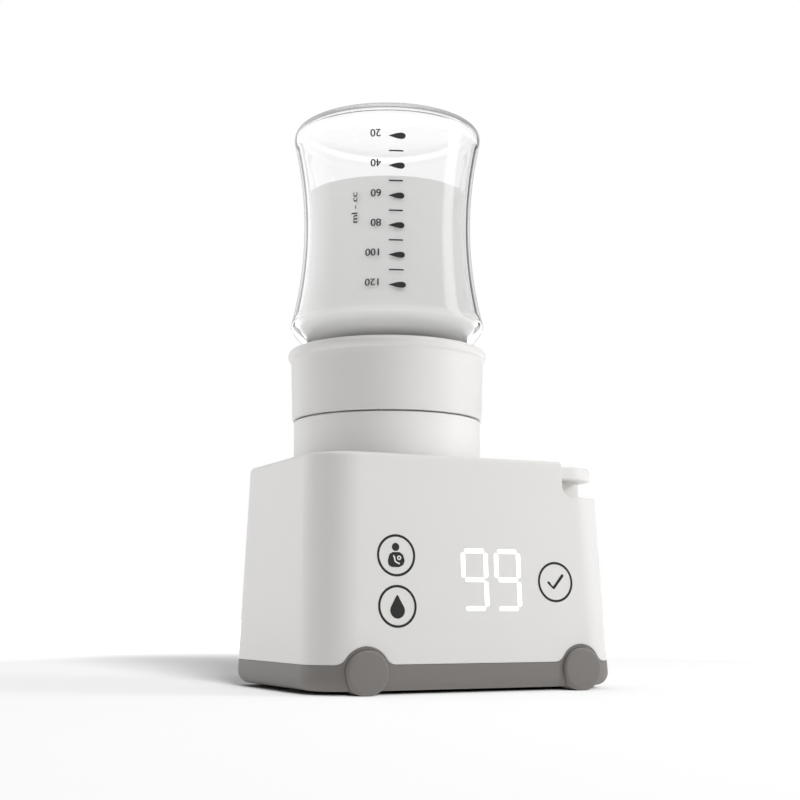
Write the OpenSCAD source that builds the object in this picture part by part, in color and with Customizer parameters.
// Portable bottle warmer: a rounded, drafted base with a heating cup, a push-fit collar
// and an inverted wide-neck glass bottle. Millimetres, +Z up, origin on the floor under
// the middle of the base, front towards -Y.

/* [Base] */
// Width of the base at the band line
base_w = 107.5; // [106:0.5:112]
// Depth of the base at the band line
base_d = 82; // [81.5:0.5:90]
// Height of the top face of the base
base_h = 73.5; // [73:0.5:76]
// Radius of the upright corners
corner_r = 14; // [12:0.5:15]
// Inward slope of the left and right sides, per unit of height
draft_x = 0.03; // [0.01:0.01:0.04]
// Inward slope of the front and back, per unit of height
draft_y = 0.06; // [0.03:0.01:0.06]
// Wall thickness of the upper housing
wall = 2.4; // [2:0.1:2.6]
// Height of the line between the grey tub and the housing
band_z = 9; // [8:0.5:10]
// Clearance under the tub
tub_lift = 1.2; // [1:0.1:1.6]

/* [Wheel feet] */
// Distance from the middle to each wheel foot
wheel_x = 37.5; // [35:0.5:38]
// Radius of a wheel foot
wheel_r = 6.8; // [6:0.1:7]
// How far a wheel foot stands out of the tub
wheel_proud = 1.5; // [0.5:0.1:2]

/* [Neck and cup] */
// Sideways place of the neck, from the middle of the base
neck_x = -12.2; // [-13:0.1:-11]
// Outer radius of the neck
neck_r = 31.5; // [31.3:0.1:31.7]
// Height of the neck's top edge
neck_top = 88.3; // [88:0.1:90]
// Inner radius of the heating cup
cup_r = 25.7; // [24:0.1:25.8]

/* [Collar and bottle] */
// Height of the collar's rim
collar_top = 112.4; // [112:0.1:113]
// Pitch of the bottle's screw thread
thread_pitch = 4; // [3.6:0.1:4]
// Radius of the bottle at its waist
waist_r = 28.7; // [28:0.1:29]
// Height of the waist
waist_z = 155; // [153:0.5:157]
// Height of the bottle's upturned base
bottle_top = 191.4; // [190:0.1:195]
// Thickness of the glass
glass_wall = 1.9; // [1.8:0.1:2.2]

/* [Battery] */
// Radius of one round cell
cell_r = 9.1; // [9:0.05:9.2]
// Length of one round cell
cell_len = 65; // [64:0.5:65]
// Distance between neighbouring cells
cell_pitch = 19; // [18.8:0.1:19]

/* [Strap eye] */
// Inner side wall of the corner pocket
pocket_x = 33.6; // [32:0.1:35]
// Inner back wall of the corner pocket
pocket_y = -18.3; // [-20:0.1:-17]
// Floor of the corner pocket
pocket_z = 61.9; // [61:0.1:63]

/* [Hidden] */

$fn = 96;
eps = 0.01;
fit_gap = 0.05;      // running fit, per side
body_gap = 0.1;      // rest gap between pieces that come apart
top_fillet = 1.6;
bottom_fillet = 4;
lip_gap = 0.15;
tub_wall = 3.7;
tub_floor = 2.2;
lip_h = 2;
big = 200;

half_w = base_w / 2;
half_d = base_d / 2;
cavity_top = base_h - wall;
floor_top = tub_lift + tub_floor;

// Arches of the tub over the wheel feet
arch_r = wheel_r + 0.75;
arch_z = 6.9;
arch_fillet = 3.8;
wheel_z = wheel_r - 0.1;
wheel_face = half_d + wheel_proud;
wheel_back = 35;
well_r = wheel_r + 1.5;
well_wall = 1.4;
well_end = 36.8;
wheel_edge = 1;

// Corner bosses and their screws
boss_x = 42;
boss_y = 28;
boss_r = 3.8;
screw_r = 1.45;
head_r = 2.8;
head_h = 1.8;
head_recess_top = 5;
screw_top = 20;

// Neck and cup
neck_foot_r = 34.2;
neck_foot_h = 2.2;
ledge_r = 26.7;
ledge_z = 76.6;
ledge_h = 2.4;
neck_bore_r = 28.4;
neck_inner_r = 28;
cup_wall = 0.6;
cup_bottom = 34;
cup_flange_r = 28.2;
cup_flange_h = 0.8;
cup_gasket_h = 0.8;
cup_flange_z = ledge_z + ledge_h + cup_gasket_h;
sleeve_r = 30.5;
sleeve_bottom = 31;
heater_r = 20.8;
heater_h = 2.9;
heater_z = cup_bottom - heater_h - fit_gap;
pad_r = 17;
pad_h = 1.7;

// Collar
collar_z = neck_top + body_gap;
collar_low_r = 32.1;
collar_high_r = 32.6;
collar_taper_top = 106;
bead_tube = 2;
bead_r = 31.7;
spigot_z = 81.2;
spigot_r = 27.9;
passage_r = 20;
collar_floor = collar_z + 3.1;
collar_bore_r = 25.4;
flare_r = 29.4;
flare_z = 109;
ring_tube = 1;
ring_z = 84.8;
ring_r = neck_bore_r - fit_gap - ring_tube;
groove_h = 2.4;
core_in = 28.8;
core_out = 30.4;
core_top = 104;

// Bottle
gasket_h = 2;
gasket_groove_r = 22;
mouth_z = collar_floor + fit_gap + gasket_h + body_gap;
mouth_r = 21;
finish_r = 23.4;
thread_r = 24.9;
collar_thread_r = 24;
thread_root = 1.9;
thread_tip = 1;
thread_start = mouth_z + 4;
bottle_turns = 1.5;
collar_turns = 2;
thread_steps = 24;
shoulder_r = 32.9;
shoulder_z = 121.4;
finish_top = 107;
flare_low = 4.3;
flare_low_h = 34;
flare_high = 3.45;
flare_high_h = 30.6;
heel_z = 186;
base_ring_r = 27;
base_dish = 1.1;
base_thick = 2.5;
curve_steps = 10;
side_steps = 12;

// Boards
board_t = 1.6;
main_z = 25;
main_top = main_z + board_t;
cell_z = 13.2;
cradle_y = 23.5;
cradle_h = 6.5;
display_depth = 4.8;
display_x = 5.9;
display_z = 34.7;
digit_w = 9.9;
digit_h = 19.8;
digit_pitch = 12.9;
bar_t = 1.9;
key_places = [[-27, 41.8], [-27, 26.4], [29.2, 34.2]];
usb_x = 31;
usb_w = 8.9;
usb_h = 3.2;
usb_len = 7.8;
post_places = [[-45, -17], [-45, 17], [45, -17], [45, 17]];
display_post_places = [[-35, 20], [-35, 49], [35, 20], [35, 49]];
post_r = 2.6;
board_screw_r = 1;
board_head_r = 1.8;
link_t = 0.3;

// Strap bar
eye_x = half_w - draft_x * (70 - band_z) - corner_r;
eye_y = -(half_d - draft_y * (70 - band_z) - corner_r);
eye_inset = 1;
eye_bar_w = 4.4;
eye_bar_h = 4.2;
eye_bar_z = 67.8;
eye_bar_edge = 1.3;
eye_peg = 1.4;
pocket_fillet = 3.6;

// ---------------------------------------------------------------- shared shapes

// Half width and half depth of the base at a height.
function side_at(z) = half_w - draft_x * (z - band_z);
function face_at(z) = half_d - draft_y * (z - band_z);

// Point on a cubic curve through a and d, pulled towards b and c.
function curve(a, b, c, d, t) =
    a * pow(1 - t, 3) + b * 3 * t * pow(1 - t, 2) + c * 3 * t * t * (1 - t) + d * pow(t, 3);

// Ring of four rounded corners at one height; fillet rounds the edge around the ring.
module corner_ring(z, inset, fillet, turn_fn) {
    r = corner_r - inset;
    for (sx = [-1, 1], sy = [-1, 1])
        translate([sx * (side_at(z) - corner_r), sy * (face_at(z) - corner_r), z])
            if (fillet > 0)
                rotate_extrude($fn = turn_fn)
                    translate([r - fillet, 0])
                        circle(fillet, $fn = 24);
            else
                cylinder(h = eps, r = r, $fn = turn_fn);
}

// The drafted, rounded outer form of the base.
module base_form() {
    hull() {
        corner_ring(tub_lift + bottom_fillet, 0, bottom_fillet, 64);
        corner_ring(base_h - top_fillet, 0, top_fillet, 64);
    }
}

// The same form moved inwards, between two heights.
module inner_form(inset, z0, z1) {
    hull() {
        corner_ring(z0, inset, 0, 48);
        corner_ring(z1 - eps, inset, 0, 48);
    }
}

// Outline of one arch, standing on the band line, in X and Z.
module arch_outline(grow) {
    r = arch_r + grow;
    f = arch_fillet - grow;
    rise = band_z + grow - arch_z;
    foot = sqrt(pow(r + f, 2) - pow(rise + f, 2));
    touch = r / (r + f);
    translate([0, arch_z]) circle(r);
    difference() {
        polygon([
            [-foot, rise + arch_z], [-foot * touch, arch_z + (rise + f) * touch],
            [foot * touch, arch_z + (rise + f) * touch], [foot, rise + arch_z],
            [foot, 0], [-foot, 0]
        ]);
        for (s = [-1, 1])
            translate([s * foot, arch_z + rise + f]) circle(f);
    }
}

// Everything below the band line and inside the arches, front and back.
module band_zone(grow) {
    translate([-big / 2, -big / 2, -10]) cube([big, big, 10 + band_z + grow]);
    for (x = [-wheel_x, wheel_x])
        translate([x, big / 2, 0])
            rotate([90, 0, 0])
                linear_extrude(big) arch_outline(grow);
}

// Lathe about the neck's axis.
module about_neck() {
    translate([neck_x, 0, 0]) rotate_extrude($fn = 128) children();
}

// Frame on the sloping front face: x and y along the face, z out of it.
module on_front(x, z) {
    translate([x, -face_at(z), z])
        rotate([90 - atan(draft_y), 0, 0])
            children();
}

// Straight round wire from one point to the next, with ball corners.
module wire(points, r) {
    for (i = [0 : len(points) - 2]) {
        step = points[i + 1] - points[i];
        translate(points[i])
            rotate([0, acos(step.z / norm(step)), atan2(step.y, step.x)])
                cylinder(h = norm(step), r = r, $fn = 24);
    }
    for (i = [1 : len(points) - 2])
        translate(points[i]) sphere(r, $fn = 24);
}

// Rounded rectangle centred on the origin.
module round_rect(w, h, r) {
    square([w - 2 * r, h], center = true);
    square([w, h - 2 * r], center = true);
    for (sx = [-1, 1], sy = [-1, 1])
        translate([sx * (w / 2 - r), sy * (h / 2 - r)]) circle(r, $fn = 48);
}

// Right-handed screw ridge about the neck's axis.
module screw_ridge(root_r, tip_r, z0, turns) {
    steps = round(turns * thread_steps);
    ring = [[root_r, -thread_root / 2], [tip_r, -thread_tip / 2],
            [tip_r, thread_tip / 2], [root_r, thread_root / 2]];
    points = [for (i = [0 : steps], p = ring)
        let (a = 360 * i / thread_steps)
        [p[0] * cos(a), p[0] * sin(a), z0 + thread_pitch * i / thread_steps + p[1]]];
    flip = root_r > tip_r;
    sides = [for (i = [0 : steps - 1], k = [0 : 3])
        let (a = 4 * i + k, b = 4 * i + (k + 1) % 4)
        flip ? [a, a + 4, b + 4, b] : [a, b, b + 4, a + 4]];
    first = flip ? [0, 1, 2, 3] : [3, 2, 1, 0];
    last = flip ? [3, 2, 1, 0] : [0, 1, 2, 3];
    ends = [first, [for (k = last) 4 * steps + k]];
    translate([neck_x, 0, 0])
        polyhedron(points = points, faces = concat(sides, ends));
}

// ---------------------------------------------------------------- base shells

// Corner pocket of the strap eye; grow makes the liner around it.
module pocket_form(grow) {
    x = pocket_x - grow;
    z = pocket_z - grow;
    f = pocket_fillet + grow;
    translate([0, pocket_y + grow, 0])
        rotate([90, 0, 0])
            linear_extrude(big)
                union() {
                    translate([x + f, z]) square([big, big]);
                    translate([x, z + f]) square([big, big]);
                    translate([x + f, z + f]) circle(f);
                }
}

module bar_path(grow) {
    r = corner_r - eye_inset - eye_bar_w / 2;
    z = eye_bar_z + eye_bar_h / 2;
    w = eye_bar_w + 2 * grow;
    h = eye_bar_h + 2 * grow;
    run_x = eye_x - pocket_x + eye_peg + grow;
    run_y = pocket_y - eye_y + eye_peg + grow;
    translate([eye_x, eye_y, z])
        rotate([0, 0, -90])
            rotate_extrude(angle = 90, $fn = 96)
                translate([r, 0]) round_rect(w, h, eye_bar_edge);
    translate([eye_x, eye_y - r, z])
        rotate([90, 0, -90])
            linear_extrude(run_x) round_rect(w, h, eye_bar_edge);
    translate([eye_x + r, eye_y + run_y, z])
        rotate([90, 0, 0])
            linear_extrude(run_y) round_rect(w, h, eye_bar_edge);
}

module upper_housing() {
    color("whitesmoke")
        difference() {
            union() {
                difference() {
                    base_form();
                    inner_form(wall, -5, cavity_top);
                    translate([neck_x, 0, cavity_top - 1])
                        cylinder(h = wall + 2, r = neck_r + fit_gap, $fn = 128);
                }
                intersection() {
                    base_form();
                    difference() {
                        pocket_form(wall);
                        translate([neck_x, 0, 0])
                            cylinder(h = big, r = neck_foot_r + 1, $fn = 128);
                    }
                }
                for (sx = [-1, 1], sy = [-1, 1])
                    corner_boss(sx, sy);
                for (p = display_post_places)
                    on_front(p[0], p[1])
                        translate([0, 0, -display_depth])
                            cylinder(h = display_depth - wall + 0.5, r = post_r);
            }
            band_zone(fit_gap * 2);
            pocket_form(0);
            bar_path(fit_gap);
            for (sx = [-1, 1], sy = [-1, 1])
                translate([sx * boss_x, sy * boss_y, 0])
                    cylinder(h = screw_top + 2, r = screw_r + fit_gap);
            for (p = display_post_places)
                on_front(p[0], p[1])
                    translate([0, 0, -display_depth - 1])
                        cylinder(h = 4, r = board_screw_r + fit_gap, $fn = 32);
            translate([usb_x, 0, main_top + usb_h / 2])
                rotate([-90, 0, 0])
                    linear_extrude(big) round_rect(usb_w + 1.2, usb_h + 1.2, 2);
            on_front(display_x, display_z)
                translate([0, 0, -wall - 1 + 0.9])
                    cube([2 * digit_pitch + 2, digit_h + 4, 2], center = true);
        }
}

// Screw boss that hangs in a corner and is webbed to the side wall.
module corner_boss(sx, sy) {
    top = sx > 0 && sy < 0 ? pocket_z - wall / 2 : cavity_top + 0.5;
    translate([sx * boss_x, sy * boss_y, band_z + 0.1])
        cylinder(h = top - band_z - 0.1, r = boss_r);
    web = side_at(top) - boss_x - wall + 0.5;
    translate([sx > 0 ? boss_x : -boss_x - web, sy * boss_y - 0.8, band_z + 4])
        cube([web, 1.6, top - band_z - 4]);
}

module bottom_tub() {
    color("dimgray")
        difference() {
            union() {
                intersection() {
                    difference() {
                        base_form();
                        inner_form(tub_wall, floor_top, 30);
                    }
                    band_zone(0);
                }
                difference() {
                    inner_form(wall + lip_gap, band_z - 1, band_z + lip_h);
                    inner_form(tub_wall, floor_top, 30);
                }
                for (sx = [-1, 1], sy = [-1, 1])
                    translate([sx * boss_x, sy * boss_y, tub_lift + 1])
                        cylinder(h = band_z - tub_lift - 1, r = boss_r);
                for (x = [-wheel_x, wheel_x], s = [-1, 1])
                    wheel_well(x, s);
            }
            for (x = [-wheel_x, wheel_x], s = [-1, 1])
                wheel_place(x, s)
                    translate([0, 0, wheel_back - fit_gap])
                        cylinder(h = 20, r = wheel_r + fit_gap);
            for (sx = [-1, 1], sy = [-1, 1])
                translate([sx * boss_x, sy * boss_y, 0]) {
                    cylinder(h = band_z + 1, r = screw_r + fit_gap);
                    cylinder(h = head_recess_top, r = head_r + 0.2);
                }
        }
}

// Puts a child on a wheel's axis, with z pointing out of the front or the back.
module wheel_place(x, s) {
    translate([x, 0, wheel_z]) rotate([-90 * s, 0, 0]) children();
}

module wheel_well(x, s) {
    intersection() {
        wheel_place(x, s)
            translate([0, 0, wheel_back - well_wall])
                cylinder(h = well_end - wheel_back + well_wall, r = well_r);
        translate([-big / 2, -big / 2, tub_lift]) cube(big);
    }
}

module wheel_feet() {
    color("gray")
        for (x = [-wheel_x, wheel_x], s = [-1, 1])
            difference() {
                wheel_place(x, s) rotate_extrude() wheel_outline();
                translate([x, 0, -10]) cube([20, big, 20], center = true);
            }
}

// Half section of a wheel foot: a flat face with a rounded rim.
module wheel_outline() {
    deep = wheel_face - wheel_back;
    translate([0, wheel_back]) square([wheel_r, deep - wheel_edge]);
    translate([0, wheel_back]) square([wheel_r - wheel_edge, deep]);
    translate([wheel_r - wheel_edge, wheel_face - wheel_edge])
        intersection() {
            circle(wheel_edge, $fn = 48);
            square(wheel_edge);
        }
}

module case_screws() {
    color("silver")
        for (sx = [-1, 1], sy = [-1, 1])
            translate([sx * boss_x, sy * boss_y, head_recess_top - head_h])
                difference() {
                    union() {
                        cylinder(h = head_h, r = head_r);
                        cylinder(h = screw_top - head_recess_top + head_h, r = screw_r);
                    }
                    translate([0, 0, -eps]) cylinder(h = 1.2, r = 1.1, $fn = 6);
                }
}

module strap_bar() {
    color("white") bar_path(0);
}

// ---------------------------------------------------------------- neck, cup and heater

module neck_tube() {
    foot_z = cavity_top - neck_foot_h;
    color("white")
        about_neck()
            polygon([
                [neck_inner_r, foot_z], [neck_foot_r, foot_z], [neck_foot_r, cavity_top],
                [neck_r, cavity_top], [neck_r, neck_top - 0.4], [neck_r - 0.4, neck_top],
                [neck_bore_r + 0.5, neck_top], [neck_bore_r, neck_top - 0.5],
                [neck_bore_r, ledge_z + ledge_h], [ledge_r, ledge_z + ledge_h],
                [ledge_r, ledge_z], [neck_inner_r, ledge_z]
            ]);
}

module heating_cup() {
    outer = cup_r + cup_wall;
    round_r = 5;
    color("lightsteelblue")
        about_neck()
            difference() {
                union() {
                    translate([0, cup_bottom + round_r])
                        square([outer, cup_flange_z + cup_flange_h - cup_bottom - round_r]);
                    translate([0, cup_bottom]) square([outer - round_r, round_r + 1]);
                    translate([outer - round_r, cup_bottom + round_r]) quarter(round_r);
                    translate([0, cup_flange_z]) square([cup_flange_r, cup_flange_h]);
                }
                translate([-1, cup_bottom + round_r]) square([cup_r + 1, 60]);
                translate([-1, cup_bottom + cup_wall])
                    square([outer - round_r + 1, round_r + 1]);
                translate([outer - round_r, cup_bottom + round_r])
                    quarter(round_r - cup_wall);
            }
}

// Lower outer quarter of a disc.
module quarter(r) {
    intersection() {
        circle(r, $fn = 48);
        translate([0, -r]) square([r, r]);
    }
}

module ring_about_neck(r0, r1, z0, z1) {
    about_neck() translate([r0, z0]) square([r1 - r0, z1 - z0]);
}

module cup_gasket() {
    color("lightgray")
        ring_about_neck(ledge_r, cup_flange_r - 0.1, ledge_z + ledge_h, cup_flange_z);
}

module insulation_sleeve() {
    color("khaki")
        ring_about_neck(cup_r + cup_wall + 0.2, sleeve_r, sleeve_bottom,
                        cavity_top - neck_foot_h - 0.2);
}

module heater_disc() {
    color("lightgray")
        difference() {
            translate([neck_x, 0, heater_z]) cylinder(h = heater_h, r = heater_r);
            translate([neck_x, 0, heater_z - 1]) cylinder(h = heater_h + 2, r = 1.6);
        }
}

module ntc_sensor() {
    color("goldenrod")
        translate([neck_x, 0, heater_z + 0.8]) {
            cylinder(h = heater_h - 0.85, r = 1.5);
            translate([0, 0, -2.4]) cylinder(h = 2.5, r = 1);
        }
}

module base_insulation() {
    color("khaki")
        difference() {
            translate([neck_x, 0, heater_z - pad_h]) cylinder(h = pad_h - fit_gap, r = pad_r);
            translate([neck_x, 0, heater_z - pad_h - 1]) cylinder(h = 4, r = 1.7);
            translate([neck_x - 8, -11, heater_z - pad_h - 1]) cube([16, 6, 4]);
        }
}

module thermal_fuse() {
    color("peru")
        translate([neck_x - 5, -8, heater_z - 2.1]) rotate([0, 90, 0]) cylinder(h = 10, r = 2);
}

module heater_leads() {
    color("firebrick")
        for (s = [-1, 1])
            wire([
                [neck_x + 19, 6 * s, heater_z - fit_gap], [neck_x + 19, 6 * s, heater_z - 2],
                [neck_x + 27, 6 * s, heater_z - 2], [neck_x + 27, 6 * s, main_top + fit_gap]
            ], 0.8);
}

// ---------------------------------------------------------------- battery

module at_cells() {
    for (i = [-1.5 : 1 : 1.5])
        translate([i * cell_pitch, 0, cell_z])
            rotate([90, 0, 0]) children();
}

module battery_cells() {
    color("steelblue")
        at_cells() {
            cylinder(h = cell_len - 1, r = cell_r, center = true);
            cylinder(h = cell_len, r = 4, center = true);
        }
}

module battery_cradle() {
    span = 2 * cell_pitch + 1;
    color("dimgray")
        difference() {
            union() {
                translate([-span, -cradle_y, floor_top + fit_gap])
                    cube([2 * span, 2 * cradle_y, cradle_h]);
                for (p = post_places) {
                    translate([p[0], p[1], floor_top + fit_gap])
                        cylinder(h = main_z - floor_top - 2 * fit_gap, r = post_r);
                    translate([min(p[0], 0.8 * p[0]), p[1] - 2, floor_top + fit_gap])
                        cube([9, 4, 5]);
                }
            }
            at_cells() cylinder(h = cell_len + 2, r = cell_r + fit_gap, center = true);
            for (p = post_places)
                translate([p[0], p[1], main_z - 7])
                    cylinder(h = 8, r = board_screw_r + fit_gap, $fn = 32);
        }
}

module cell_links() {
    end = cell_len / 2 + fit_gap;
    color("silver") {
        for (i = [-1, 1])
            translate([i * cell_pitch, -end - link_t / 2, cell_z])
                cube([cell_pitch + 8, link_t, 7], center = true);
        translate([0, end + link_t / 2, cell_z])
            cube([cell_pitch + 8, link_t, 7], center = true);
        for (i = [-1.5, 1.5])
            translate([i * cell_pitch, end + link_t / 2, cell_z])
                cube([8, link_t, 7], center = true);
    }
}

module battery_leads() {
    r = 0.7;
    x = 1.5 * cell_pitch - 1.5;
    back = cell_len / 2 + link_t + 2 * fit_gap + r;
    top = main_z - fit_gap - r - 0.3;
    color("crimson")
        for (s = [-1, 1])
            wire([
                [s * x, back, cell_z], [s * x, back, top], [s * x, 19, top],
                [s * x, 19, main_z - fit_gap]
            ], r);
}

// ---------------------------------------------------------------- electronics

module main_board() {
    color("seagreen")
        difference() {
            translate([0, 0, main_z])
                linear_extrude(board_t) {
                    square([98, 42], center = true);
                    translate([usb_x - 6.5, 20]) square([13, 16]);
                }
            for (p = post_places)
                translate([p[0], p[1], main_z - 1])
                    cylinder(h = 4, r = board_screw_r + fit_gap, $fn = 32);
        }
}

module board_screw() {
    translate([0, 0, -5]) cylinder(h = 5 + eps, r = board_screw_r, $fn = 32);
    difference() {
        cylinder(h = 1.1, r = board_head_r, $fn = 48);
        translate([0, 0, 0.5]) cylinder(h = 1, r = 0.7, $fn = 6);
    }
}

module main_board_screws() {
    color("silver")
        for (p = post_places)
            translate([p[0], p[1], main_top]) board_screw();
}

module usb_c_socket() {
    y0 = face_at(main_top) - 1.4 - usb_len;
    color("silver")
        translate([usb_x, y0, main_top + usb_h / 2])
            rotate([-90, 0, 0]) {
                difference() {
                    linear_extrude(usb_len) round_rect(usb_w, usb_h, 1.5);
                    translate([0, 0, 1.2])
                        linear_extrude(usb_len) round_rect(usb_w - 0.6, usb_h - 0.6, 1.25);
                }
                translate([-3.3, -0.35, 1]) cube([6.6, 0.7, usb_len - 2]);
            }
}

module power_inductor() {
    color("dimgray")
        translate([37, 4, main_top])
            difference() {
                cylinder(h = 7, r = 6);
                for (s = [-1, 1])
                    translate([s * 6.5 - 1, -5, -eps]) cube([2, 10, 1]);
            }
}

module capacitors() {
    color("darkslateblue")
        for (y = [-14, -4])
            translate([26, y, main_top]) cylinder(h = 11, r = 3.2);
}

module control_chips() {
    color("black") {
        translate([-42, -6, main_top]) cube([7, 7, 1.2]);
        translate([24, 9, main_top]) cube([6, 5, 1.4]);
        translate([33, -15, main_top]) cube([5, 6, 1.4]);
    }
}

module buzzer() {
    color("black")
        translate([-44, 8, main_top])
            difference() {
                cylinder(h = 3.4, r = 4.4);
                translate([0, 0, 2]) cylinder(h = 2, r = 0.8);
            }
}

module display_board() {
    color("seagreen")
        on_front(0, 34.5)
            difference() {
                translate([-40, -17.5, -display_depth - board_t]) cube([80, 35, board_t]);
                for (p = display_post_places)
                    translate([p[0], (p[1] - 34.5) / cos(atan(draft_y)), -display_depth - 3])
                        cylinder(h = 4, r = board_screw_r + fit_gap, $fn = 32);
            }
}

module display_screws() {
    color("silver")
        for (p = display_post_places)
            on_front(p[0], p[1])
                translate([0, 0, -display_depth - board_t])
                    rotate([180, 0, 0])
                        intersection() {
                            board_screw();
                            translate([0, 0, -3.8]) cylinder(h = 6, r = 4);
                        }
}

// Centre and direction of the seven bars of one digit: [x, z, upright].
function digit_bars() =
    let (x = digit_w / 2 - bar_t / 2, z = digit_h / 4 - bar_t / 8)
    [[0, digit_h / 2 - bar_t / 2, 0], [x, z, 1], [x, -z, 1], [0, -digit_h / 2 + bar_t / 2, 0],
     [-x, -z, 1], [-x, z, 1], [0, 0, 0]];

module each_bar() {
    for (d = [-0.5, 0.5], b = digit_bars())
        translate([d * digit_pitch + b[0], b[1], 0])
            rotate([0, 0, 90 * b[2]]) children();
}

module light_guide() {
    h = display_depth - wall + 0.8;
    color("black")
        on_front(display_x, display_z)
            translate([0, 0, -display_depth + fit_gap])
                difference() {
                    translate([-digit_pitch, -digit_h / 2 - 1.5, 0])
                        cube([2 * digit_pitch, digit_h + 3, h]);
                    each_bar()
                        translate([0, 0, h / 2]) cube([6.2, bar_t, h + 2], center = true);
                }
}

module segment_leds() {
    color("lightyellow")
        on_front(display_x, display_z)
            translate([0, 0, -display_depth + fit_gap])
                each_bar()
                    translate([0, 0, 0.4]) cube([3, 1.4, 0.8], center = true);
}

module touch_pads() {
    color("goldenrod")
        for (p = key_places)
            on_front(p[0], p[1])
                translate([0, 0, -display_depth + fit_gap])
                    cylinder(h = display_depth - wall - 2 * fit_gap, r = 5.5);
}

// Seven flat-laid wires from under the main board to the back of the display board.
module board_link() {
    r = 0.5;
    z = main_z - fit_gap - r;
    front = -face_at(main_z) + display_depth + board_t + fit_gap;
    color("ivory")
        for (i = [-3 : 3])
            wire([[-2 + i * 1.5, -19, z], [-2 + i * 1.5, front, z]], r);
}

// ---------------------------------------------------------------- collar and bottle

module collar() {
    color("white") {
        about_neck()
            difference() {
                union() {
                    polygon([
                        [passage_r, spigot_z], [spigot_r - 0.5, spigot_z],
                        [spigot_r, spigot_z + 0.5], [spigot_r, collar_z],
                        [collar_low_r - 0.4, collar_z], [collar_low_r, collar_z + 0.4],
                        [collar_high_r, collar_taper_top], [collar_high_r, collar_top - bead_tube],
                        [bead_r, collar_top - bead_tube], [flare_r, collar_top - 1.2],
                        [collar_bore_r, flare_z], [collar_bore_r, collar_floor],
                        [passage_r, collar_floor]
                    ]);
                    translate([bead_r, collar_top - bead_tube]) circle(bead_tube);
                }
                translate([spigot_r - 1.6, ring_z - groove_h / 2])
                    square([3, groove_h]);
                translate([core_in, collar_z - 1])
                    square([core_out - core_in, core_top - collar_z + 1]);
            }
        screw_ridge(collar_bore_r + 0.5, collar_thread_r,
                    thread_start - thread_pitch / 2, collar_turns);
    }
}

module collar_o_ring() {
    color("gainsboro") about_neck() translate([ring_r, ring_z]) circle(ring_tube);
}

module bottle_gasket() {
    z = collar_floor + fit_gap;
    color("gainsboro")
        difference() {
            ring_about_neck(mouth_r - 0.5, collar_thread_r - 0.3, z, z + gasket_h);
            ring_about_neck(gasket_groove_r, gasket_groove_r + 0.4, z - 1, z + 0.5);
        }
}

// Outer side of the glass from the mouth to the middle of its upturned base.
function glass_outer() = concat(
    [[mouth_r + 0.6, mouth_z], [finish_r - 0.5, mouth_z], [finish_r, mouth_z + 0.6]],
    [for (i = [0 : curve_steps]) curve([finish_r, finish_top], [finish_r, finish_top + 5],
        [shoulder_r + 1, shoulder_z - 3.4], [shoulder_r, shoulder_z], i / curve_steps)],
    [for (i = [1 : side_steps]) let (z = shoulder_z + (waist_z - shoulder_z) * i / side_steps)
        [side_r(z), z]],
    [for (i = [1 : side_steps]) let (z = waist_z + (heel_z - waist_z) * i / side_steps)
        [side_r(z), z]],
    [for (i = [1 : curve_steps]) curve([side_r(heel_z), heel_z], [33, bottle_top - 2.2],
        [31, bottle_top], [base_ring_r, bottle_top], i / curve_steps)],
    [[base_ring_r - 3, bottle_top - base_dish * 0.7], [0, bottle_top - base_dish]]
);

// Inner side, from the middle of the base back down to the mouth.
function glass_inner() = concat(
    [[0, bottle_top - base_thick]],
    [for (i = [0 : curve_steps]) curve([25.5, bottle_top - base_thick],
        [30.6, bottle_top - base_thick], [31.1, heel_z + 1.9],
        [side_r(heel_z - 1) - glass_wall, heel_z - 1], i / curve_steps)],
    [for (i = [1 : side_steps])
        let (z = heel_z - 1 - (heel_z - 1 - waist_z) * i / side_steps)
        [side_r(z) - glass_wall, z]],
    [for (i = [1 : side_steps]) let (z = waist_z - (waist_z - shoulder_z - 1) * i / side_steps)
        [side_r(z) - glass_wall, z]],
    [for (i = [1 : curve_steps]) curve([side_r(shoulder_z + 1) - glass_wall, shoulder_z + 1],
        [shoulder_r - 1.4, shoulder_z - 2], [mouth_r, finish_top + 7], [mouth_r, finish_top + 2],
        i / curve_steps)],
    [[mouth_r, mouth_z + 0.6]]
);

// Outer radius of the waisted side at a height.
function side_r(z) = z < waist_z
    ? waist_r + flare_low * pow((waist_z - z) / flare_low_h, 2)
    : waist_r + flare_high * pow((z - waist_z) / flare_high_h, 2);

module bottle() {
    color("aliceblue", 0.4) {
        about_neck() polygon(concat(glass_outer(), glass_inner()));
        screw_ridge(finish_r - 0.4, thread_r, thread_start, bottle_turns);
    }
}

upper_housing();
bottom_tub();
wheel_feet();
case_screws();
strap_bar();
neck_tube();
heating_cup();
cup_gasket();
insulation_sleeve();
heater_disc();
base_insulation();
ntc_sensor();
thermal_fuse();
heater_leads();
battery_cells();
battery_cradle();
cell_links();
battery_leads();
main_board();
main_board_screws();
usb_c_socket();
power_inductor();
capacitors();
control_chips();
buzzer();
display_board();
display_screws();
light_guide();
segment_leds();
touch_pads();
board_link();
collar();
collar_o_ring();
bottle_gasket();
bottle();
